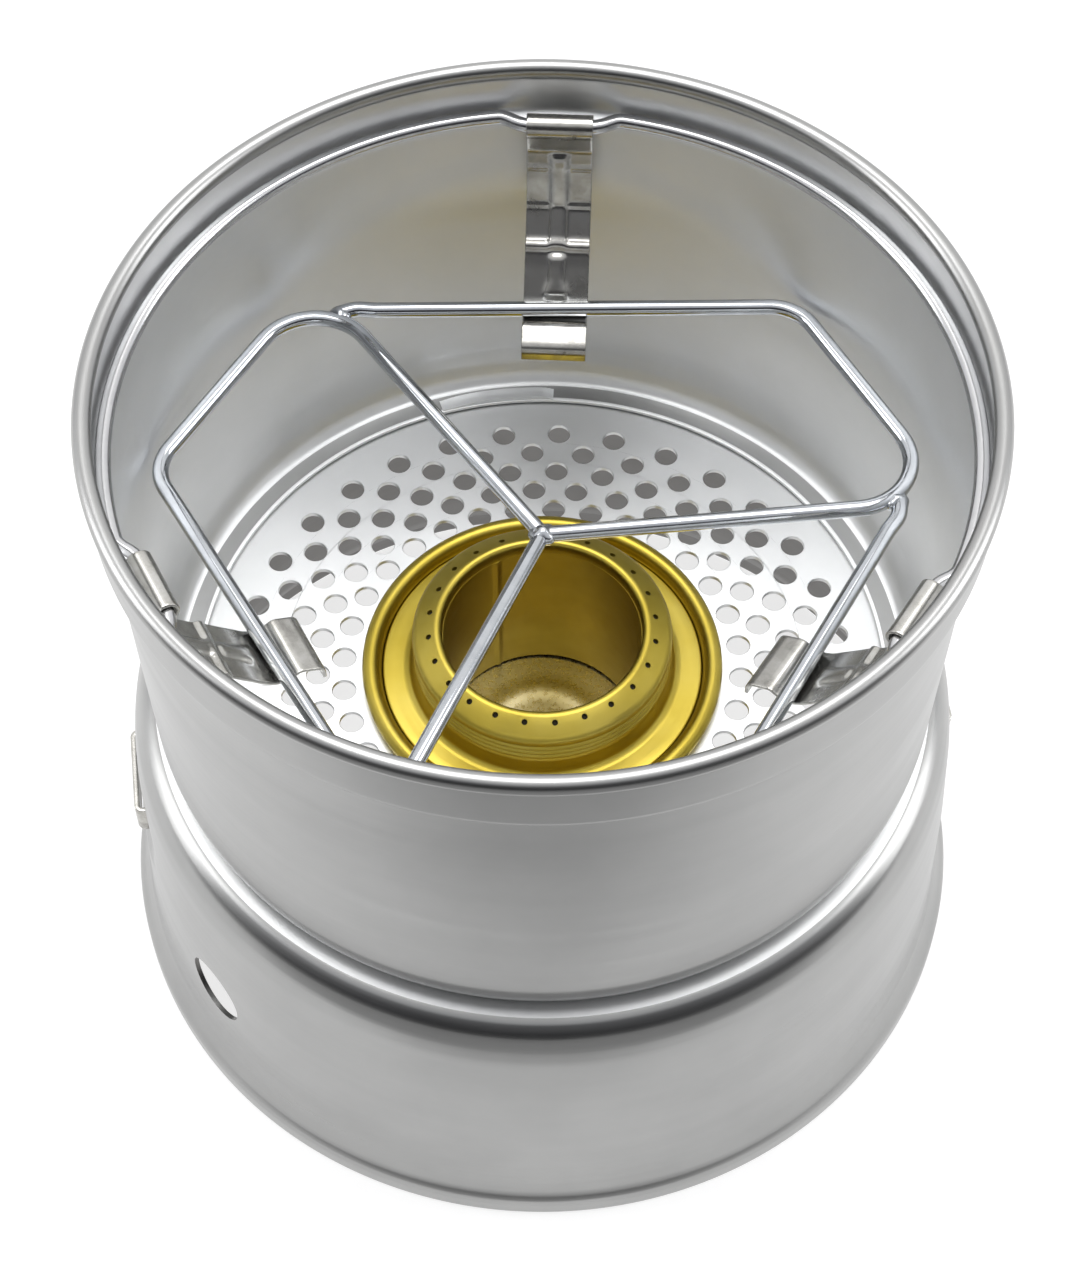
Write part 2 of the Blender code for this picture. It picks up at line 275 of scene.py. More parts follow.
def floor_brass():
    """Inside of the burner: paler, slightly crumpled sheet."""
    mat, nodes, links = new_material("pale_brass_look")
    shader = set_shader(mat, Metallic=1.0)
    crumple = noise(nodes, links, object_place(nodes), 48.0, 1.0, 0.4)
    grain = noise(nodes, links, object_place(nodes), 900.0, 3.0)
    links.new(tinted(nodes, links, crumple,
                     ((0.3, (0.60, 0.50, 0.22)), (0.55, (0.74, 0.66, 0.42)),
                      (0.75, (0.80, 0.76, 0.60)))),
              shader.inputs["Base Color"])
    links.new(spread(nodes, links, grain, 0.22, 0.36),
              shader.inputs["Roughness"])
    fine = bumped(nodes, links, grain, 0.2, 0.00003)
    links.new(bumped(nodes, links, crumple, 0.5, 0.0012, fine),
              shader.inputs["Normal"])
    return mat


def bright_wire(name, colour, rough):
    """Plated or stainless wire: near mirror, with faint dulled patches."""
    mat, nodes, links = new_material(name)
    shader = set_shader(mat, Metallic=1.0)
    dull = noise(nodes, links, object_place(nodes), 160.0, 4.0, 0.6)
    grain = noise(nodes, links, object_place(nodes), 1400.0, 2.0)
    dark = tuple(0.86 * value for value in colour)
    links.new(tinted(nodes, links, dull, ((0.3, dark), (0.6, colour))),
              shader.inputs["Base Color"])
    links.new(spread(nodes, links, dull, rough[1], rough[0]),
              shader.inputs["Roughness"])
    links.new(bumped(nodes, links, grain, 0.15, 0.00002),
              shader.inputs["Normal"])
    return mat


def strip_steel():
    """Pressed stainless strip, drawn along its length and slightly soiled."""
    mat, nodes, links = new_material("pressed_steel_look")
    shader = set_shader(mat, Metallic=1.0)
    stains = noise(nodes, links, object_place(nodes), 130.0, 5.0, 0.65)
    grain = noise(nodes, links, object_place(nodes), 1800.0, 3.0)
    links.new(tinted(nodes, links, stains,
                     ((0.3, (0.30, 0.29, 0.27)), (0.5, (0.50, 0.49, 0.46)),
                      (0.7, (0.60, 0.59, 0.57)))),
              shader.inputs["Base Color"])
    links.new(spread(nodes, links, stains, 0.30, 0.17),
              shader.inputs["Roughness"])
    links.new(bumped(nodes, links, grain, 0.25, 0.00003),
              shader.inputs["Normal"])
    return mat


def wick_cotton():
    mat, nodes, links = new_material("wick_cotton_look")
    shader = set_shader(mat, Roughness=0.95)
    wave = nodes.new("ShaderNodeTexWave")
    wave.inputs["Scale"].default_value = 420.0
    wave.inputs["Distortion"].default_value = 4.0
    links.new(object_place(nodes), wave.inputs["Vector"])
    links.new(tinted(nodes, links, wave.outputs["Fac"],
                     ((0.0, (0.52, 0.47, 0.38)), (1.0, (0.78, 0.74, 0.64)))),
              shader.inputs["Base Color"])
    links.new(bumped(nodes, links, wave.outputs["Fac"], 0.7, 0.0004),
              shader.inputs["Normal"])
    return mat


def jet_shade_plugs():
    """Painted shade: near-black plugs set inside the flame jets."""
    mat, nodes, links = new_material("jet_painted_shade_look")
    shader = set_shader(mat, Roughness=0.9)
    shade_plug = noise(nodes, links, object_place(nodes), 2500.0, 2.0)
    links.new(tinted(nodes, links, shade_plug,
                     ((0.3, (0.012, 0.010, 0.006)),
                      (0.7, (0.03, 0.024, 0.012)))),
              shader.inputs["Base Color"])
    return mat


def floor_glow_and_painted_shadow():
    """Grey table that glows as painted light; the glow fades to a painted
    shadow towards the near side.
    """
    mat, nodes, links = new_material("floor_glow_and_painted_shadow")
    shader = set_shader(mat, Roughness=0.8, Specular_IOR_Level=0.2,
                        Emission_Color=(1.0, 1.0, 1.0, 1.0))
    split = nodes.new("ShaderNodeSeparateXYZ")
    links.new(object_place(nodes), split.inputs[0])
    glow = nodes.new("ShaderNodeMapRange")
    glow.interpolation_type = 'SMOOTHSTEP'
    glow.inputs["From Min"].default_value = FLOOR_SHADOW_FADE[1]
    glow.inputs["From Max"].default_value = FLOOR_SHADOW_FADE[0]
    glow.inputs["To Min"].default_value = FLOOR_PAINTED_GLOW[0]
    glow.inputs["To Max"].default_value = FLOOR_PAINTED_GLOW[1]
    links.new(split.outputs[1], glow.inputs["Value"])
    links.new(glow.outputs["Result"], shader.inputs["Emission Strength"])
    grain = noise(nodes, links, object_place(nodes), 300.0, 2.0)
    links.new(tinted(nodes, links, grain,
                     ((0.2, (0.28, 0.28, 0.28)), (0.8, (0.31, 0.31, 0.31)))),
              shader.inputs["Base Color"])
    return mat


# ------------------------------------------------------------ shape helpers
def towards(point, other, reach):
    """A cut's end: at most a quarter of the way to the other point."""
    away = other - point
    return point + away * min(0.25, reach / away.length)


def softened(profile, reach, rounds=2):
    """Rounds a closed outline's corners by cutting them again and again."""
    line = [Vector(point) for point in profile]
    for _ in range(rounds):
        cut = []
        for index, point in enumerate(line):
            if point.x < 1e-6:
                cut.append(point)
                continue
            for other in (line[index - 1], line[(index + 1) % len(line)]):
                if (other - point).length < 1e-9:
                    continue
                cut.append(towards(point, other, reach))
        line = cut
        reach *= 0.4
    return line


def subdivided(line, longest, closed=True):
    """An outline with no straight stretch longer than this."""
    made = []
    ends = line[1:] + line[:1] if closed else line[1:]
    for here, there in zip(line, ends):
        parts = max(1, math.ceil((there - here).length / longest))
        made.extend(here.lerp(there, part / parts) for part in range(parts))
    if not closed:
        made.append(line[-1])
    return made


def arc(centre, radius, first_deg, last_deg, steps):
    """Points of a circle's arc in the (radius, height) plane."""
    points = []
    for step in range(steps + 1):
        angle = math.radians(first_deg + (last_deg - first_deg) * step / steps)
        points.append(Vector((centre[0] + radius * math.cos(angle),
                              centre[1] + radius * math.sin(angle))))
    return points


def finished(name, build, mat, sharp_deg):
    """The bmesh, in millimetres, as a smooth object in metres."""
    bmesh.ops.recalc_face_normals(build, faces=build.faces)
    bmesh.ops.scale(build, vec=(MM, MM, MM), verts=build.verts)
    mesh = bpy.data.meshes.new(name)
    build.to_mesh(mesh)
    build.free()
    mesh.shade_smooth()
    mesh.set_sharp_from_angle(angle=math.radians(sharp_deg))
    mesh.materials.append(mat)
    obj = bpy.data.objects.new(name, mesh)
    bpy.context.scene.collection.objects.link(obj)
    return obj


def join_loops(build, one, two):
    """A band of faces between two closed loops of points."""
    for index in range(len(one)):
        after = (index + 1) % len(one)
        build.faces.new((one[index], one[after], two[after], two[index]))


def join_rows(build, rows):
    """A sheet of faces over open rows of points."""
    for here, there in zip(rows, rows[1:]):
        for cell in range(len(here) - 1):
            build.faces.new((here[cell], here[cell + 1],
                             there[cell + 1], there[cell]))


def turn_profile(build, line, closed=True, steps=TURN_STEPS, start_deg=0.0):
    """Turns an outline round +Z into the bmesh."""
    rings = []
    for step in range(steps):
        angle = math.radians(start_deg) + math.tau * step / steps
        ring = [build.verts.new((p.x * math.cos(angle),
                                 p.x * math.sin(angle), p.y)) for p in line]
        rings.append(ring)
    last = len(line) if closed else len(line) - 1
    for step in range(steps):
        here = rings[step]
        there = rings[(step + 1) % steps]
        for row in range(last):
            after = (row + 1) % len(line)
            build.faces.new((here[row], here[after],
                             there[after], there[row]))


def turned_piece(name, line, mat, steps=TURN_STEPS, sharp_deg=40.0):
    build = bmesh.new()
    turn_profile(build, line, steps=steps)
    bmesh.ops.remove_doubles(build, verts=build.verts, dist=0.0005)
    return finished(name, build, mat, sharp_deg)


def around(angle, radius, height):
    return Vector((radius * math.cos(angle), radius * math.sin(angle), height))


def at_radius(degrees, radius, height):
    """Frame at a radius: local X outward, Y round the axis, Z up."""
    return (Matrix.Rotation(math.radians(degrees), 4, 'Z')
            @ Matrix.Translation((radius, 0.0, height)))


def swept_wire(name, path, radius, closed, mat, sides=20):
    """A round wire along a flat path; open ends are domed."""
    build = bmesh.new()
    count = len(path)
    stations = []
    for index, point in enumerate(path):
        before = after = point
        if closed or index > 0:
            before = path[index - 1]
        if closed or index < count - 1:
            after = path[(index + 1) % count]
        stations.append((point, (after - before).normalized(), radius))
    if not closed:
        first, last = stations[0], stations[-1]
        dome = [math.radians(90.0 * step / 4) for step in range(1, 5)]
        for angle in dome:
            shrink = max(radius * math.cos(angle), 0.02)
            run = 0.55 * radius * math.sin(angle)
            stations.insert(0, (first[0] - first[1] * run, first[1], shrink))
            stations.append((last[0] + last[1] * run, last[1], shrink))
    rings = []
    for point, along, size in stations:
        side = Vector((-along.y, along.x, 0.0))
        up = along.cross(side)
        ring = []
        for step in range(sides):
            angle = math.tau * step / sides
            way = side * math.cos(angle) + up * math.sin(angle)
            ring.append(build.verts.new(point + way * size))
        rings.append(ring)
    pairs = list(zip(rings, rings[1:]))
    if closed:
        pairs.append((rings[-1], rings[0]))
    else:
        build.faces.new(rings[0])
        build.faces.new(rings[-1][::-1])
    for here, there in pairs:
        join_loops(build, here, there)
    return finished(name, build, mat, 60.0)


def filleted(points, radii, steps=14):
    """A flat path through the points with its inner corners rounded."""
    path = [Vector(points[0])]
    for before, corner, after, radius in zip(points, points[1:], points[2:],
                                             radii):
        corner = Vector(corner)
        one = (Vector(before) - corner).normalized()
        two = (Vector(after) - corner).normalized()
        half = 0.5 * one.angle(two)
        centre = corner + (one + two).normalized() * radius / math.sin(half)
        start = corner + one * radius / math.tan(half) - centre
        end = corner + two * radius / math.tan(half) - centre
        sweep = math.pi - 2.0 * half
        sign = 1.0 if start.x * end.y - start.y * end.x > 0.0 else -1.0
        for index in range(steps + 1):
            turn = Matrix.Rotation(sign * sweep * index / steps, 2)
            path.append(centre + turn @ start)
    path.append(Vector(points[-1]))
    return path


def smooth_step(low, high, value):
    share = min(1.0, max(0.0, (value - low) / (high - low)))
    return share * share * (3.0 - 2.0 * share)


def with_modifier(obj, kind, **settings):
    step = obj.modifiers.new(kind.lower(), kind)
    for key, value in settings.items():
        setattr(step, key, value)
    return obj


def cut_by(obj, cutter):
    """Boolean difference, applied, with the cutter removed."""
    with_modifier(obj, 'BOOLEAN', operation='DIFFERENCE', solver='EXACT',
                  object=cutter)
    bpy.context.view_layer.update()
    graph = bpy.context.evaluated_depsgraph_get()
    mesh = bpy.data.meshes.new_from_object(obj.evaluated_get(graph))
    obj.modifiers.clear()
    obj.data = mesh
    bpy.data.objects.remove(cutter, do_unlink=True)
    mesh.shade_smooth()
    mesh.set_sharp_from_angle(angle=math.radians(SHELL_SHARP_DEG))
    return obj


def cylinders(name, places, radius, depth, sides, mat):
    build = bmesh.new()
    for place in places:
        bmesh.ops.create_cone(build, cap_ends=True, segments=sides,
                              radius1=radius, radius2=radius, depth=depth,
                              matrix=place)
    return finished(name, build, mat, 30.0)


def sort_looks(obj, looks, choose, top_z):
    """Gives each face the look whose index choose(face, top_z) returns."""
    obj.data.materials.clear()
    for look in looks:
        obj.data.materials.append(look)
    for face in obj.data.polygons:
        face.material_index = choose(face, top_z)


def shell_side(face):
    """0 on faces that look outward, 1 on faces that look at the axis."""
    flat = Vector((face.center.x, face.center.y)).normalized()
    return 1 if flat.dot(Vector(face.normal.xy)) < -0.05 else 0


# --------------------------------------------------------- lower windshield
def wall_line(base_r, top_z):
    """Outer side of the lower shell, from the disc's edge to the lip."""
    return [Vector(p) for p in (
        (79.5, top_z), (82.3, 70.0), (84.6, 67.9), (86.1, 64.6), (86.8, 60.5),
        (88.2, 40.0), (88.8, 20.0), (89.0, 15.0), (89.6, 10.0), (91.0, 6.5),
        (base_r, 4.5), (base_r, 0.0))]


def inner_side(line):
    """The sheet's other side, one thickness inward, from lip to disc."""
    made = []
    for index, point in enumerate(line):
        before = line[max(index - 1, 0)]
        after = line[min(index + 1, len(line) - 1)]
        along = (after - before).normalized()
        made.append(point + Vector((along.y, -along.x)) * SHEET)
    made[0] = line[0] - Vector((0.0, SHEET))
    made[-1] = line[-1] - Vector((SHEET, 0.0))
    return made[::-1]


def vent_cell(build, middle, radius, half_turn, top_z):
    """One air hole and the patch of disc round it, with both faces."""
    inner, outer = radius - 0.5 * VENT_BAND, radius + 0.5 * VENT_BAND
    arcs, sides = TURN_STEPS // VENT_COUNT, 4
    first, last = middle - half_turn, middle + half_turn
    rim = []
    for step in range(arcs):
        rim.append((first + 2 * half_turn * step / arcs, outer))
    for step in range(sides):
        rim.append((last, outer + (inner - outer) * step / sides))
    for step in range(arcs):
        rim.append((last - 2 * half_turn * step / arcs, inner))
    for step in range(sides):
        rim.append((first, inner + (outer - inner) * step / sides))
    centre = around(middle, radius, 0.0)
    out = around(middle, 1.0, 0.0)
    side = Vector((-out.y, out.x, 0.0))
    levels = ((top_z, VENT_R + VENT_CHAMFER, True),
              (top_z - VENT_CHAMFER, VENT_R, False),
              (top_z - SHEET + VENT_CHAMFER, VENT_R, False),
              (top_z - SHEET, VENT_R + VENT_CHAMFER, True))
    first_turn = math.radians(90.0 + 360.0 * (arcs / 2) / len(rim))
    loops = []
    for height, size, flat in levels:
        loop = []
        for index in range(len(rim)):
            angle = first_turn - math.tau * index / len(rim)
            place = (centre + out * size * math.sin(angle)
                     + side * size * math.cos(angle))
            loop.append(build.verts.new((place.x, place.y, height)))
        if flat:
            edge = [build.verts.new(around(angle, far, height))
                    for angle, far in rim]
            join_loops(build, edge, loop)
        loops.append(loop)
    for one, two in zip(loops, loops[1:]):
        join_loops(build, one, two)


def pocket_depth(x, y, z):
    """How far the wall is pressed in behind the strap loops."""
    angle = math.degrees(math.atan2(y, x)) % 360.0
    radius = math.hypot(x, y)
    deepest = 0.0
    for loop_deg in LOOP_DEGS:
        apart = (angle - loop_deg + 180.0) % 360.0 - 180.0
        along = abs(math.radians(apart) * radius) / POCKET_LEN
        high = abs(z - LOOP_Z) / POCKET_HIGH
        reach = (along ** 3 + high ** 3) ** (1.0 / 3.0)
        deepest = max(deepest, 1.0 - smooth_step(0.5, 1.0, reach))
    return deepest * POCKET_DEEP


def press_pockets(build):
    for vert in build.verts:
        if not POCKET_ZONE[0] < vert.co.z < POCKET_ZONE[1]:
            continue
        depth = pocket_depth(*vert.co)
        if depth > 0.0:
            flat = Vector((vert.co.x, vert.co.y))
            flat -= flat.normalized() * depth
            vert.co.x, vert.co.y = flat


def lower_side(face, disc_z):
    """Painted light on the disc's top; painted shade on the satin wall
    outside, and deeper painted shade beneath and within.
    """
    out_r = math.hypot(face.center.x, face.center.y)
    if (out_r < DISC_PAINTED_LIGHT_R * MM
            and face.center.z > disc_z - 0.9 * SHEET * MM):
        return 1
    if face.normal.z < -0.5 and face.center.z > PAINTED_SHADE_BENEATH_Z * MM:
        return 2
    return 2 * shell_side(face)


def lower_shell(looks):
    _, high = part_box("lower_windshield")
    base_r, top_z = high.x / MM, high.z / MM
    vents_out = VENT_RINGS[0] + 0.5 * VENT_BAND
    vents_in = VENT_RINGS[-1] - 0.5 * VENT_BAND
    outer = wall_line(base_r, top_z)
    inner = inner_side(outer)
    ring = softened([(vents_out, top_z)] + outer + inner
                    + [(vents_out, top_z - SHEET)], 0.6)
    ring = [p for p in ring if p.x > vents_out + 0.5]
    ring = ([Vector((vents_out, top_z))] + subdivided(ring, 1.4)
            + [Vector((vents_out, top_z - SHEET))])
    lip = [Vector((vents_in, top_z - SHEET)),
           Vector((BORE_R + 0.3, top_z - SHEET)),
           Vector((BORE_R, top_z - 0.7)), Vector((BORE_R, top_z - 0.3)),
           Vector((BORE_R + 0.3, top_z)), Vector((vents_in, top_z))]
    build = bmesh.new()
    turn_profile(build, without_doubles(ring), closed=False,
                 start_deg=VENT_FIRST_DEG)
    turn_profile(build, lip, closed=False, start_deg=VENT_FIRST_DEG)
    half_turn = math.pi / VENT_COUNT
    for row, radius in enumerate(VENT_RINGS):
        start = math.radians(VENT_FIRST_DEG) - half_turn * (row % 2)
        for index in range(VENT_COUNT):
            vent_cell(build, start + 2.0 * half_turn * index, radius,
                      half_turn, top_z)
    bmesh.ops.remove_doubles(build, verts=build.verts, dist=0.02)
    press_pockets(build)
    shell = finished("lower_shell", build, looks[0], SHELL_SHARP_DEG)
    radius, turn, height = SIDE_HOLE
    place = (at_radius(turn, 88.5, height)
             @ Matrix.Rotation(math.radians(90.0), 4, 'Y'))
    cutter = cylinders("side_hole_cutter", [place], radius, 8.0, 64, looks[0])
    cut_by(shell, cutter)
    sort_looks(shell, looks, lower_side, high.z)
    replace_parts(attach(shell, "base"),
                "lower_windshield")


def without_doubles(line):
    """The line without points that repeat the one before."""
    made = []
    for point in line:
        if made and (point - made[-1]).length < 0.01:
            continue
        made.append(point)
    return made


def strap_loop(side, degrees, mat):
    """A steel strip bent to a shallow bridge over its pocket."""
    low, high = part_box("strap_loop_" + side)
    middle_z = 0.5 * (low.z + high.z) / MM
    wide = (high.z - low.z) / MM
    mid_r = LOOP_FACE_R - 0.5 * LOOP_THICK
    leg = LOOP_HALF - 0.5 * LOOP_THICK
    line = filleted(((LOOP_FOOT_R, -leg), (mid_r, -leg), (mid_r, leg),
                     (LOOP_FOOT_R, leg)), (LOOP_BEND_R, LOOP_BEND_R), 6)
    turn = Matrix.Rotation(math.radians(degrees), 4, 'Z')
    build = bmesh.new()
    rows = []
    for point in line:
        rows.append([build.verts.new(turn @ Vector((point.x, point.y, middle_z
                                                    + wide * share)))
                     for share in (-0.5, -0.25, 0.0, 0.25, 0.5)])
    join_rows(build, rows)
    piece = finished("strap_bridge_" + side, build, mat, 40.0)
    sheet_thickness(piece, LOOP_THICK)
    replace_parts(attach(piece, "base"),
                "strap_loop_" + side)


def sheet_thickness(obj, thick):
    with_modifier(obj, 'SOLIDIFY', thickness=thick * MM, offset=0.0,
                  use_even_offset=True, use_rim=True)
    with_modifier(obj, 'BEVEL', width=0.14 * MM, segments=2,
                  limit_method='ANGLE', angle_limit=math.radians(50.0))


# --------------------------------------------------------- upper windshield
def upper_side(face, rim_z):
    """Painted light inside; painted shade on the satin wall and bead outside.
    """
    if face.center.z > rim_z - BEAD_LOOK_HIGH * MM:
        return 0
    return shell_side(face)


def upper_shell(looks):
    low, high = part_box("upper_windshield")
    rim_top, rim_out, foot = high.z / MM, high.x / MM, low.z / MM
    bead_r = 1.85
    bead = (rim_out - bead_r, rim_top - bead_r)
    outer = arc(bead, bead_r, 160.0, -58.0, 26)
    outer += softened_open(((85.0, 159.1), (85.0, 149.6), (84.5, 148.7),
                            (83.0, 148.2), (82.6, 147.3), (81.0, 80.0),
                            (80.4, 76.0), (79.3, 73.0), (78.0, 71.4),
                            (76.9, foot), (71.8, foot), (71.6, foot + 0.45),
                            (71.8, foot + 0.9), (76.6, foot + 0.9),
                            (78.3, 73.7), (79.4, 76.3), (80.0, 80.1),
                            (81.6, 147.6), (82.0, 148.8), (83.5, 149.5),
                            (84.0, 150.3), (84.0, 158.4), (83.0, 159.3)))
    outer.append(Vector((82.35, 160.6)))
    line = subdivided(outer, 9.0)
    shell = turned_piece("upper_shell", line, looks[0])
    sort_looks(shell, looks[:2], upper_side, high.z)
    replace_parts(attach(shell, "upper"),
                "upper_windshield")


def softened_open(points, reach=0.5):
    """Corners cut twice on an outline that stays open at its ends."""
    line = [Vector(point) for point in points]
    for _ in range(2):
        cut = [line[0]]
        for before, point, after in zip(line, line[1:], line[2:]):
            for other in (before, after):
                cut.append(towards(point, other, reach))
        cut.append(line[-1])
        line = cut
        reach *= 0.4
    return line


def bayonet_tab(mat):
    """Raised ramp on the shell's inward flange, over the disc's edge."""
    low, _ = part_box("upper_windshield")
    foot = low.z / MM + 0.95
    build = bmesh.new()
    steps = 30
    rows = []
    for step in range(steps + 1):
        angle = math.radians(TAB_FIRST_DEG + TAB_SWEEP_DEG * step / steps)
        rise = TAB_HIGH * smooth_step(0.0, 0.12, step / steps)
        rise *= 1.0 - smooth_step(0.55, 1.0, step / steps)
        rise += 0.05
        row = ((71.9, foot - 0.2), (72.0, foot + rise),
               (74.6, foot + rise), (75.6, foot - 0.2))
        rows.append([build.verts.new(around(angle, radius, height))
                     for radius, height in row])
    for here, there in zip(rows, rows[1:]):
        join_loops(build, here, there)
    build.faces.new(rows[0])
    build.faces.new(rows[-1][::-1])
    tab = finished("bayonet_tab", build, mat, 50.0)
    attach(tab, "upper")


# ------------------------------------------------- hinge ring and supports
def hinge_wire(mat):
    half = 0.5 * STRIP_W + BAR_SPARE
    bar_turn = math.degrees(math.atan2(half, HINGE_R))
    points = []
    for degrees in sorted(SUPPORT_DEGS.values()):
        for side in (-half, half):
            place = at_radius(degrees, HINGE_R, HINGE_Z)
            points.append(place @ Vector((0.0, side, 0.0)))
        start = degrees + bar_turn + JOGGLE_DEG
        end = degrees + 120.0 - bar_turn - JOGGLE_DEG
        arcs = 60
        for step in range(arcs + 1):
            angle = math.radians(start + (end - start) * step / arcs)
            points.append(around(angle, RING_R, HINGE_Z))
    points = round_corners(points)
    ring = swept_wire("hinge_wire", points, RING_WIRE_R, True, mat)
    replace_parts(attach(ring, "upper"),
                "hinge_ring")


def round_corners(points, reach=1.1, rounds=3):
    """Corner cutting on a closed path in space."""
    for _ in range(rounds):
        cut = []
        for index, point in enumerate(points):
            after = points[(index + 1) % len(points)]
            for other in (points[index - 1], after):
                cut.append(towards(point, other, reach))
        points = cut
        reach *= 0.5
    return points


def support_line():
    """Centreline of a pot support: its barrel, then down to its foot."""
    line = arc((HINGE_R, HINGE_Z), BARREL_R, -62.0, 226.0, BARREL_STEPS)
    line += softened_open(((HINGE_R - 1.15, HINGE_Z - 2.6),
                           (HINGE_R + 0.1, 144.0),
                           (78.0, UPPER_CREASE_Z), (76.0, LOWER_CREASE_Z),
                           (70.9, 125.3), (69.8, KNEE_Z),
                           (66.9, 121.5), (61.7, 116.2),
                           (60.0, 115.1), (56.8, 115.1), (55.3, 116.0),
                           (51.2, 114.2), (50.5, 113.2), (50.5, 110.85)), 0.45)
    return subdivided(line, 0.55, closed=False)


def strip_relief(height, across):
    """Pressed ribs and the long dimple, in millimetres towards the middle."""
    across = abs(across)
    rib = 1.0 - smooth_step(0.9, 2.3, across)
    rib *= smooth_step(143.2, 142.0, height) if height > 130.0 else 1.0
    rib *= smooth_step(124.2, 125.4, height)
    crease = 0.30 * math.exp(-((height - UPPER_CREASE_Z) / 0.35) ** 2)
    crease += 0.35 * math.exp(-((height - LOWER_CREASE_Z) / 0.4) ** 2)
    knee = 0.55 * math.exp(-((height - KNEE_Z) / 0.55) ** 2)
    dimple_wide = 1.5 + 0.9 * smooth_step(120.0, 117.2, height)
    dimple = 1.0 - smooth_step(0.55 * dimple_wide, dimple_wide + 0.5, across)
    dimple *= smooth_step(123.9, 122.6, height)
    dimple *= smooth_step(116.5, 117.6, height)
    return 0.75 * rib + 0.65 * dimple + crease * (1.0 - rib) + knee


def pot_support(side, degrees, mat):
    line = support_line()
    cells = 26
    frame_at = Matrix.Rotation(math.radians(degrees), 4, 'Z')
    build = bmesh.new()
    rows = []
    barrel_end = BARREL_STEPS + 1
    for index, point in enumerate(line):
        before = line[max(index - 1, 0)]
        after = line[min(index + 1, len(line) - 1)]
        along = (after - before).normalized()
        inward = Vector((along.y, -along.x))
        if inward.x > 0.0:
            inward = -inward
        row = []
        for cell in range(cells + 1):
            across = STRIP_W * (cell / cells - 0.5)
            lift = 0.0
            if index > barrel_end:
                lift = strip_relief(point.y, across)
            place = point + inward * lift
            row.append(build.verts.new(
                frame_at @ Vector((place.x, across, place.y))))
        rows.append(row)
    join_rows(build, rows)
    piece = finished("support_strip_" + side, build, mat, 60.0)
    sheet_thickness(piece, STRIP_T)
    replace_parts(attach(piece, "support_" + side),
                "pot_support_" + side)


# ------------------------------------------------------------------- trivet
def trivet_rod(index, degrees, start, mat):
    """Arm, short side and long side, its end jogged onto the next rod."""
    flat = filleted(((start, 0.0), (81.9, 0.0), (59.0, 53.5),
                     (-28.6, 61.6), (-32.7, 62.4), (-36.4, 61.4)),
                    (12.5, 10.0, 6.0, 6.0))
    turn = Matrix.Rotation(math.radians(degrees), 4, 'Z')
    path = [turn @ Vector((p.x, p.y, TRIVET_Z)) for p in flat]
    rod = swept_wire("trivet_rod_%d" % index, path, WIRE_R, False, mat)
    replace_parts(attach(rod, "trivet"),
                "trivet_wire_%d" % index)


def weld(name, place, size, mat):
    """A rounded lump of weld metal, uneven and smooth."""
    build = bmesh.new()
    bmesh.ops.create_icosphere(build, subdivisions=4, radius=1.0)
    for vert in build.verts:
        bulge = 1.0 + 0.10 * math.sin(5.0 * vert.co.x + 1.3) * math.cos(
            4.0 * vert.co.y)
        vert.co = Vector((vert.co.x * size[0], vert.co.y * size[1],
                          vert.co.z * size[2])) * bulge
    bmesh.ops.transform(build, matrix=place, verts=build.verts)
    lump = finished(name, build, mat, 80.0)
    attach(lump, "trivet")


def trivet(mat):
    for index, (degrees, start) in enumerate(zip(TRIVET_DEGS, ROD_STARTS)):
        trivet_rod(index + 1, degrees, start, mat)
        weld("weld_side_%d" % (index + 1),
             at_radius(degrees + WELD_TURN_DEG, WELD_R, TRIVET_Z),
             SIDE_WELD, mat)
    weld("weld_hub", at_radius(0.0, 0.0, TRIVET_Z), HUB_WELD, mat)


# ------------------------------------------------------------------- burner
def burner_cup(mat, floor_mat):
    """Cup with its rolled flange, and its floor as a piece of its own."""
    low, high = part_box("burner_body")
    foot, top, out_r = low.z / MM, high.z / MM, high.x / MM
    bead = 1.9
    line = arc((out_r - bead, top - bead), bead, 168.0, -75.0, 22)
    line += softened_open(((35.6, 70.9), (34.4, 70.8), (34.0, 70.2),
                           (34.0, 43.6), (33.2, 41.8), (31.6, foot),
                           (27.5, foot), (26.2, 41.8), (25.0, 43.4),
                           (22.0, 43.4), (22.0, 44.2), (25.4, 44.2),
                           (27.0, 42.4), (30.8, 42.0), (32.4, 42.8),
                           (33.0, 44.2), (33.0, 71.0), (33.6, 71.9)), 0.4)
    cup = turned_piece("burner_cup", subdivided(line, 6.0), mat, 192)
    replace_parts(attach(cup, "burner"),
                "burner_body")
    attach(burner_floor(floor_mat), "burner")


def burner_floor(mat):
    """Pale bottom of the spirit well, dented by its pressing."""
    build = bmesh.new()
    rows, steps = 26, 96
    rings = []
    for row in range(rows):
        radius = WELL_R * (row + 0.02) / (rows - 1)
        ring = []
        for step in range(steps):
            angle = math.tau * step / steps
            dent = (0.22 * math.cos(2.0 * angle + 0.6)
                    * (radius / WELL_R) ** 2)
            dent += 0.35 * math.exp(-((radius - 12.0) / 2.2) ** 2)
            place = around(angle, radius, WELL_Z + dent)
            ring.append(build.verts.new(place))
        rings.append(ring)
    for one, two in zip(rings, rings[1:]):
        join_loops(build, one, two)
    build.faces.new(rings[0])
    under = [build.verts.new((vert.co.x, vert.co.y, WELL_UNDER_Z))
             for vert in rings[-1]]
    join_loops(build, rings[-1], under)
    build.faces.new(under)
    return finished("burner_floor", build, mat, 50.0)


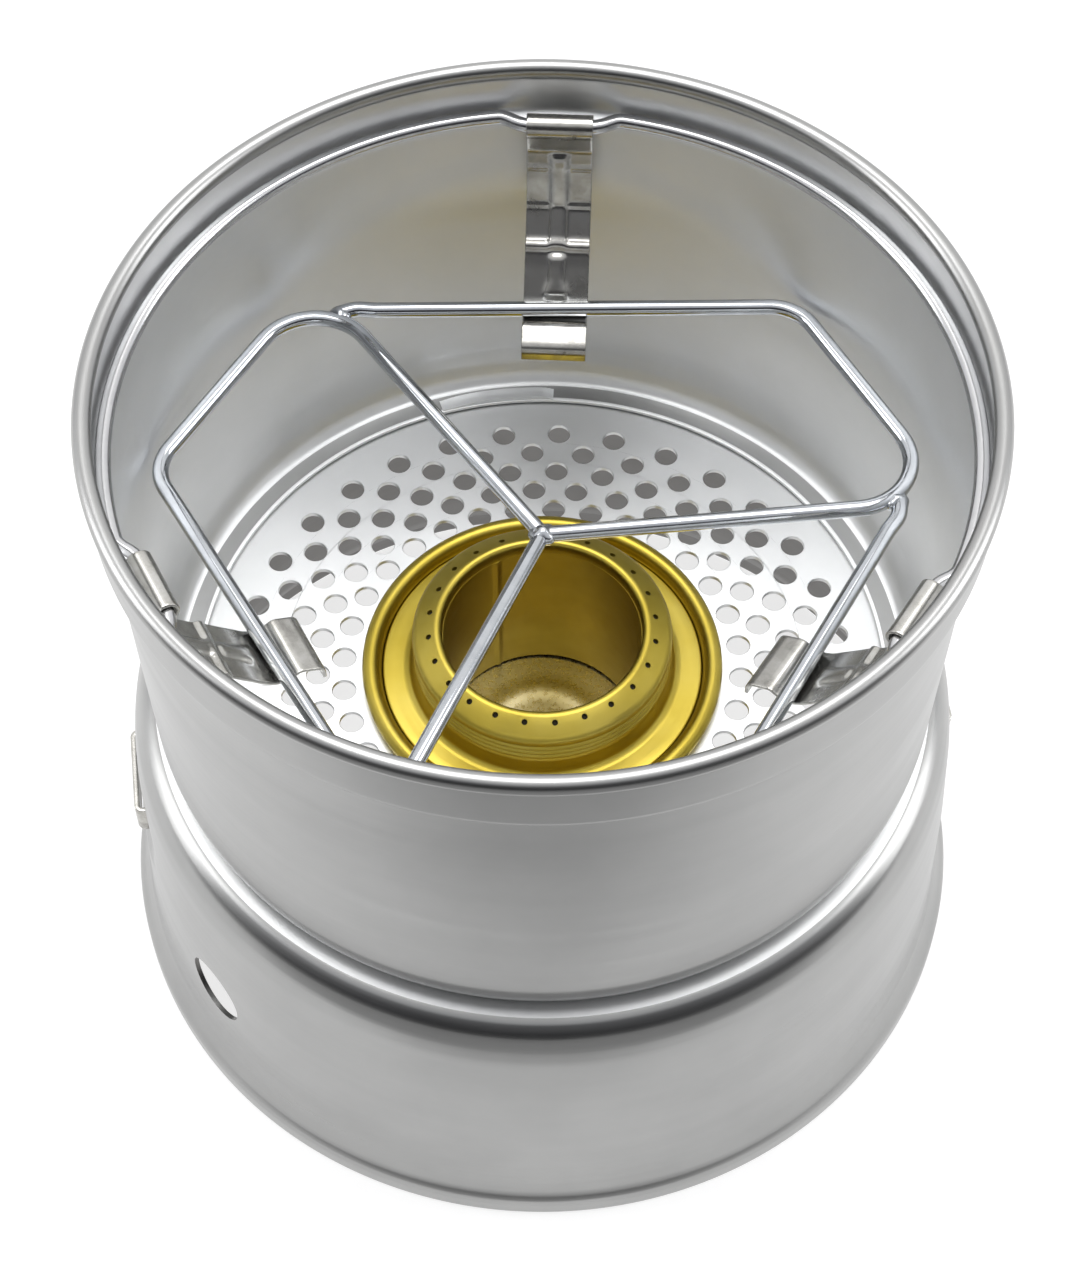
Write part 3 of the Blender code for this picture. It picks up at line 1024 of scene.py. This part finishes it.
def burner_collar(mat, shade_plug_mat):
    """Threaded neck with its ring of flame jets."""
    low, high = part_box("burner_jet_collar")
    top, foot = high.z / MM, low.z / MM
    seat_r = high.x / MM + 0.75
    thread = []
    for turn in range(THREAD_TURNS):
        crest = THREAD_TOP - THREAD_PITCH * turn
        thread += [(27.0, crest), (27.0, crest - 0.45), (26.55, crest - 0.72),
                   (26.55, crest - 1.0)]
    line = softened_open([(20.75, 85.5), (21.2, top - 0.1), (22.2, top),
                          (26.2, 84.3), (26.9, 83.5)] + thread
                         + [(26.9, 76.3), (27.2, 74.5), (27.7, 73.0),
                            (28.9, 72.45), (seat_r, 72.4),
                            (seat_r, foot + 0.3), (28.4, foot), (26.6, 72.6),
                            (26.0, 74.4), (25.8, 82.6), (25.2, 83.6),
                            (22.2, 85.1), (21.4, 84.8), (21.4, 82.0),
                            (20.6, 82.0)], 0.3)
    collar = turned_piece("burner_collar", subdivided(line, 2.5), mat, 192)
    tilt = Matrix.Rotation(math.radians(JET_LEAN_DEG), 4, 'Y')
    places = []
    plugs = []
    for index in range(JET_COUNT):
        turn = JET_FIRST_DEG + 360.0 * index / JET_COUNT
        places.append(at_radius(turn, JET_RING_R, JET_Z) @ tilt)
        plugs.append(at_radius(turn, JET_RING_R - SHADE_PLUG_IN, SHADE_PLUG_Z) @ tilt)
    cut_by(collar, cylinders("jet_cutter", places, JET_R, 3.2, 20, mat))
    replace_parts(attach(collar, "burner"),
                "burner_jet_collar")
    # near-black plugs inside the jets are painted shade
    shade_plug = cylinders("jet_shade_plugs", plugs, JET_R + 0.12, 0.5, 16, shade_plug_mat)
    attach(shade_plug, "burner")


def burner_inner_wall(mat):
    """Sleeve of the spirit well, its edges meeting in a standing seam."""
    top = 83.2
    line = subdivided([Vector(p) for p in ((21.2, top), (21.2, 45.0),
                                           (20.6, 45.0), (20.6, top))], 2.0)
    build = bmesh.new()
    turn_profile(build, line, steps=240)
    for vert in build.verts:
        angle = math.degrees(math.atan2(vert.co.y, vert.co.x)) % 360.0
        apart = abs(angle - SEAM_DEG)
        step = SEAM_HIGH * (1.0 - smooth_step(0.6, 2.4, apart))
        flat = Vector((vert.co.x, vert.co.y))
        flat -= flat.normalized() * step
        vert.co.x, vert.co.y = flat
    sleeve = finished("burner_inner_wall", build, mat, 40.0)
    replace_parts(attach(sleeve, "burner"),
                "burner_sleeve")


def wick(mat):
    low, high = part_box("burner_wick")
    foot, top, out_r = low.z / MM, high.z / MM, high.x / MM
    line = softened(((22.3, top), (out_r, top), (out_r, foot),
                     (22.3, foot)), 1.5, 3)
    piece = turned_piece("wick_wadding", subdivided(line, 1.5), mat, 120, 80.0)
    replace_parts(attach(piece, "burner"),
                "burner_wick")


# -------------------------------------------------------------------- stage
def floor(mat):
    build = bmesh.new()
    bmesh.ops.create_grid(build, x_segments=1, y_segments=1,
                          size=FLOOR_HALF)
    plane = finished("table", build, mat, 30.0)
    plane.location.z = -FLOOR_DROP


def area_light(name, place, target, size, power):
    data = bpy.data.lights.new(name, 'AREA')
    data.shape = 'RECTANGLE'
    data.size, data.size_y = size
    data.energy = power
    obj = bpy.data.objects.new(name, data)
    obj.location = place
    aim = Vector(target) - Vector(place)
    obj.rotation_euler = aim.to_track_quat('-Z', 'Y').to_euler()
    bpy.context.scene.collection.objects.link(obj)


def studio_world():
    """Bright overhead and behind, dark low down on the near side."""
    world = bpy.data.worlds.new("studio")
    bpy.context.scene.world = world
    world.use_nodes = True
    nodes, links = world.node_tree.nodes, world.node_tree.links
    way = nodes.new("ShaderNodeTexCoord").outputs["Generated"]
    split = nodes.new("ShaderNodeSeparateXYZ")
    links.new(way, split.inputs[0])
    ahead = maths(nodes, links, "MULTIPLY", split.outputs[1], 0.9)
    lean = maths(nodes, links, "MULTIPLY_ADD", split.outputs[2], 1.15, ahead)
    sky = tinted(nodes, links, spread(nodes, links, lean, 0.0, 1.0, -0.9, 1.3),
                 ((0.0, (0.02, 0.02, 0.022)), (0.42, (0.05, 0.05, 0.055)),
                  (0.60, (0.62, 0.63, 0.65)), (1.0, (1.0, 1.0, 1.0))))
    back = nodes["Background"]
    links.new(sky, back.inputs["Color"])
    back.inputs["Strength"].default_value = 1.1


def lights():
    studio_world()
    area_light("overhead", (0.0, 0.25, 1.3), (0.0, 0.0, 0.0), (1.0, 0.8), 9.0)
    area_light("left_box", (-1.1, 0.1, 0.6), (0.0, 0.0, 0.08), (0.5, 0.9), 5.0)
    area_light("right_box", (1.1, 0.1, 0.6), (0.0, 0.0, 0.08), (0.5, 0.9), 5.0)


def camera():
    data = bpy.data.cameras.new("camera")
    data.sensor_width = SENSOR
    data.lens = SENSOR * FOCAL_PER_WIDTH * PICTURE[0] / max(PICTURE)
    data.clip_start = 0.01
    data.clip_end = 20.0
    obj = bpy.data.objects.new("camera", data)
    obj.location = CAMERA_AT
    obj.rotation_euler = (math.radians(90.0 - CAMERA_DOWN_DEG), 0.0, 0.0)
    bpy.context.scene.collection.objects.link(obj)
    bpy.context.scene.camera = obj


def build_looks():
    aluminium = shell_aluminium()
    brass = burner_brass()
    steel = strip_steel()
    ring_steel = bright_wire("hinge_wire_look", (0.62, 0.62, 0.63),
                             (0.16, 0.26))
    chrome = bright_wire("chromed_wire_look", (0.54, 0.56, 0.59),
                         (0.06, 0.13))
    lower_shell(aluminium)
    for side, degrees in zip(("left", "right"), LOOP_DEGS):
        strap_loop(side, degrees, steel)
    upper_shell(aluminium)
    # the tab takes the inside copy, with painted light
    bayonet_tab(aluminium[1])
    hinge_wire(ring_steel)
    for side, degrees in SUPPORT_DEGS.items():
        pot_support(side, degrees, steel)
    trivet(chrome)
    burner_cup(brass, floor_brass())
    burner_collar(brass, jet_shade_plugs())
    burner_inner_wall(brass)
    wick(wick_cotton())
    floor(floor_glow_and_painted_shadow())


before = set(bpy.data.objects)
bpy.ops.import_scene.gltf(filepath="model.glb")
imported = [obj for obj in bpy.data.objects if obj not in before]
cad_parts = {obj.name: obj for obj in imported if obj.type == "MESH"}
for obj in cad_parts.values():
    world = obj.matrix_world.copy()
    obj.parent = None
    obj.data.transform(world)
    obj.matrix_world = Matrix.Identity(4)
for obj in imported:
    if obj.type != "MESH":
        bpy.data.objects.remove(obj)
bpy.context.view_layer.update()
bpy.context.scene.view_settings.view_transform = 'Standard'
build_looks()
lights()
camera()
